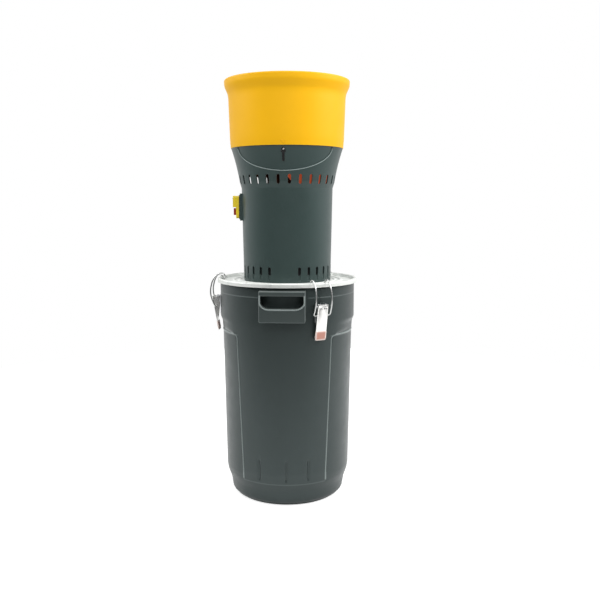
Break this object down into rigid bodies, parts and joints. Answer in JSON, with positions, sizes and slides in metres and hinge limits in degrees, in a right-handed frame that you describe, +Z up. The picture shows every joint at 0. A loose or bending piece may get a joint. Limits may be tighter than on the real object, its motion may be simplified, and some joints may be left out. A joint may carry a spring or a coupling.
{
  "type": "grain mill",
  "caption": "Electric hammer mill for grain: flared hopper on a vented motor casing, on a sheet-metal lid that toggle clasps hold to a tall plastic collecting bucket.",
  "frame": {"origin": "under the middle of the bucket, on the surface it stands on", "axes": "+Z up along the mill's axis, -Y towards the front handle, -X towards the starter switch"},
  "size_m": [0.3266, 0.3444, 0.912],
  "materials": {
    "hopper_yellow": "smooth moulded, slight sheen",
    "casing_grey": "satin moulded",
    "bucket_slate": "fine moulded grain",
    "lid_zinc": "bright zinc sheet",
    "seal_rubber": "soft matt",
    "switch_black": "moulded matt",
    "switch_yellow": "smooth moulded",
    "button_green": "smooth moulded",
    "button_red": "smooth moulded",
    "feed_red": "moulded",
    "clasp_steel": "bright plated",
    "tip_salmon": "soft dipped sleeve",
    "wire_steel": "bright drawn wire",
    "plate_steel": "plated sheet",
    "screw_steel": "plated",
    "shutter_steel": "bright sheet",
    "knob_black": "moulded",
    "shaft_steel": "ground",
    "bearing_steel": "ground",
    "bracket_alloy": "cast",
    "core_iron": "stacked sheet",
    "winding_copper": "varnished wire",
    "commutator_copper": "turned",
    "brush_holder_brown": "moulded",
    "brush_carbon": "pressed carbon",
    "fan_plastic": "moulded",
    "screen_steel": "perforated sheet",
    "blade_steel": "hardened"
  },
  "bodies": {
    "mill": {"hopper": "hopper_yellow", "hopper_funnel": "hopper_yellow", "motor_casing": "casing_grey", "bucket": "bucket_slate", "lid": "lid_zinc", "lid_seal": "seal_rubber", "switch_gasket": "switch_black", "switch_body": "switch_black", "cable_gland": "switch_black", "switch_bezel": "switch_yellow", "feed_cup": "feed_red", "clasp_plates": "plate_steel", "clasp_pins": "plate_steel", "clasp_rivets": "plate_steel", "casing_screws": "screw_steel", "hopper_screws": "screw_steel", "switch_screws": "screw_steel", "motor_bolts": "screw_steel", "motor_nuts": "screw_steel", "screen_studs": "screw_steel", "wing_nuts": "screw_steel", "shutter_pin": "screw_steel", "upper_bearing": "bearing_steel", "lower_bearing": "bearing_steel", "upper_bracket": "bracket_alloy", "lower_bracket": "bracket_alloy", "stator_core": "core_iron", "field_coils": "winding_copper", "brush_holders": "brush_holder_brown", "carbon_brushes": "brush_carbon", "screen_ring": "screen_steel", "screen_cover": "screen_steel"},
    "rotor": {"motor_shaft": "shaft_steel", "armature_core": "core_iron", "armature_winding": "winding_copper", "commutator": "commutator_copper", "cooling_fan": "fan_plastic", "blade_spacer": "shaft_steel", "beater_blade": "blade_steel", "blade_washer": "shaft_steel", "blade_nut": "shaft_steel"},
    "feed_shutter": {"feed_shutter": "shutter_steel", "shutter_knob": "knob_black"},
    "start_button": {"start_button": "button_green"},
    "stop_button": {"stop_button": "button_red"},
    "lever_right_front": {"lever_right_front": "clasp_steel", "lever_tip_right_front": "tip_salmon"},
    "bail_right_front": {"bail_right_front": "wire_steel"},
    "lever_right_rear": {"lever_right_rear": "clasp_steel", "lever_tip_right_rear": "tip_salmon"},
    "bail_right_rear": {"bail_right_rear": "wire_steel"},
    "lever_left": {"lever_left": "clasp_steel", "lever_tip_left": "tip_salmon"},
    "bail_left": {"bail_left": "wire_steel"}
  },
  "joints": [
    {"name": "rotor_spin", "type": "hinge", "parent": "mill", "child": "rotor", "pos_m": [0, 0, 0.48], "axis": [0, 0, 1], "continuous": true},
    {"name": "shutter_turn", "type": "hinge", "parent": "mill", "child": "feed_shutter", "pos_m": [0.0373, 0, 0.735], "axis": [0, 0, 1], "range_deg": [0, 90]},
    {"name": "start_press", "type": "slide", "parent": "mill", "child": "start_button", "axis": [1, 0, 0], "range_m": [0, 0.003], "stiffness_N_per_m": 500},
    {"name": "stop_press", "type": "slide", "parent": "mill", "child": "stop_button", "axis": [1, 0, 0], "range_m": [0, 0.003], "stiffness_N_per_m": 500},
    {"name": "lever_right_front_swing", "type": "hinge", "parent": "mill", "child": "lever_right_front", "pos_m": [0.079, -0.13683, 0.438], "axis": [-0.866, -0.5, 0], "range_deg": [0, 90]},
    {"name": "bail_right_front_swing", "type": "hinge", "parent": "lever_right_front", "child": "bail_right_front", "pos_m": [0.08, -0.13856, 0.42], "axis": [-0.866, -0.5, 0], "range_deg": [-70, 0]},
    {"name": "lever_right_rear_swing", "type": "hinge", "parent": "mill", "child": "lever_right_rear", "pos_m": [0.079, 0.13683, 0.438], "axis": [0.866, -0.5, 0], "range_deg": [0, 90]},
    {"name": "bail_right_rear_swing", "type": "hinge", "parent": "lever_right_rear", "child": "bail_right_rear", "pos_m": [0.08, 0.13856, 0.42], "axis": [0.866, -0.5, 0], "range_deg": [-70, 0]},
    {"name": "lever_left_swing", "type": "hinge", "parent": "mill", "child": "lever_left", "pos_m": [-0.158, 0, 0.438], "axis": [0, 1, 0], "range_deg": [0, 90]},
    {"name": "bail_left_swing", "type": "hinge", "parent": "lever_left", "child": "bail_left", "pos_m": [-0.16, 0, 0.42], "axis": [0, 1, 0], "range_deg": [-70, 0]}
  ],
  "couplings": [
    {"joint": "bail_right_front_swing", "follows": "lever_right_front_swing", "ratio": -0.75},
    {"joint": "bail_right_rear_swing", "follows": "lever_right_rear_swing", "ratio": -0.75},
    {"joint": "bail_left_swing", "follows": "lever_left_swing", "ratio": -0.75}
  ]
}
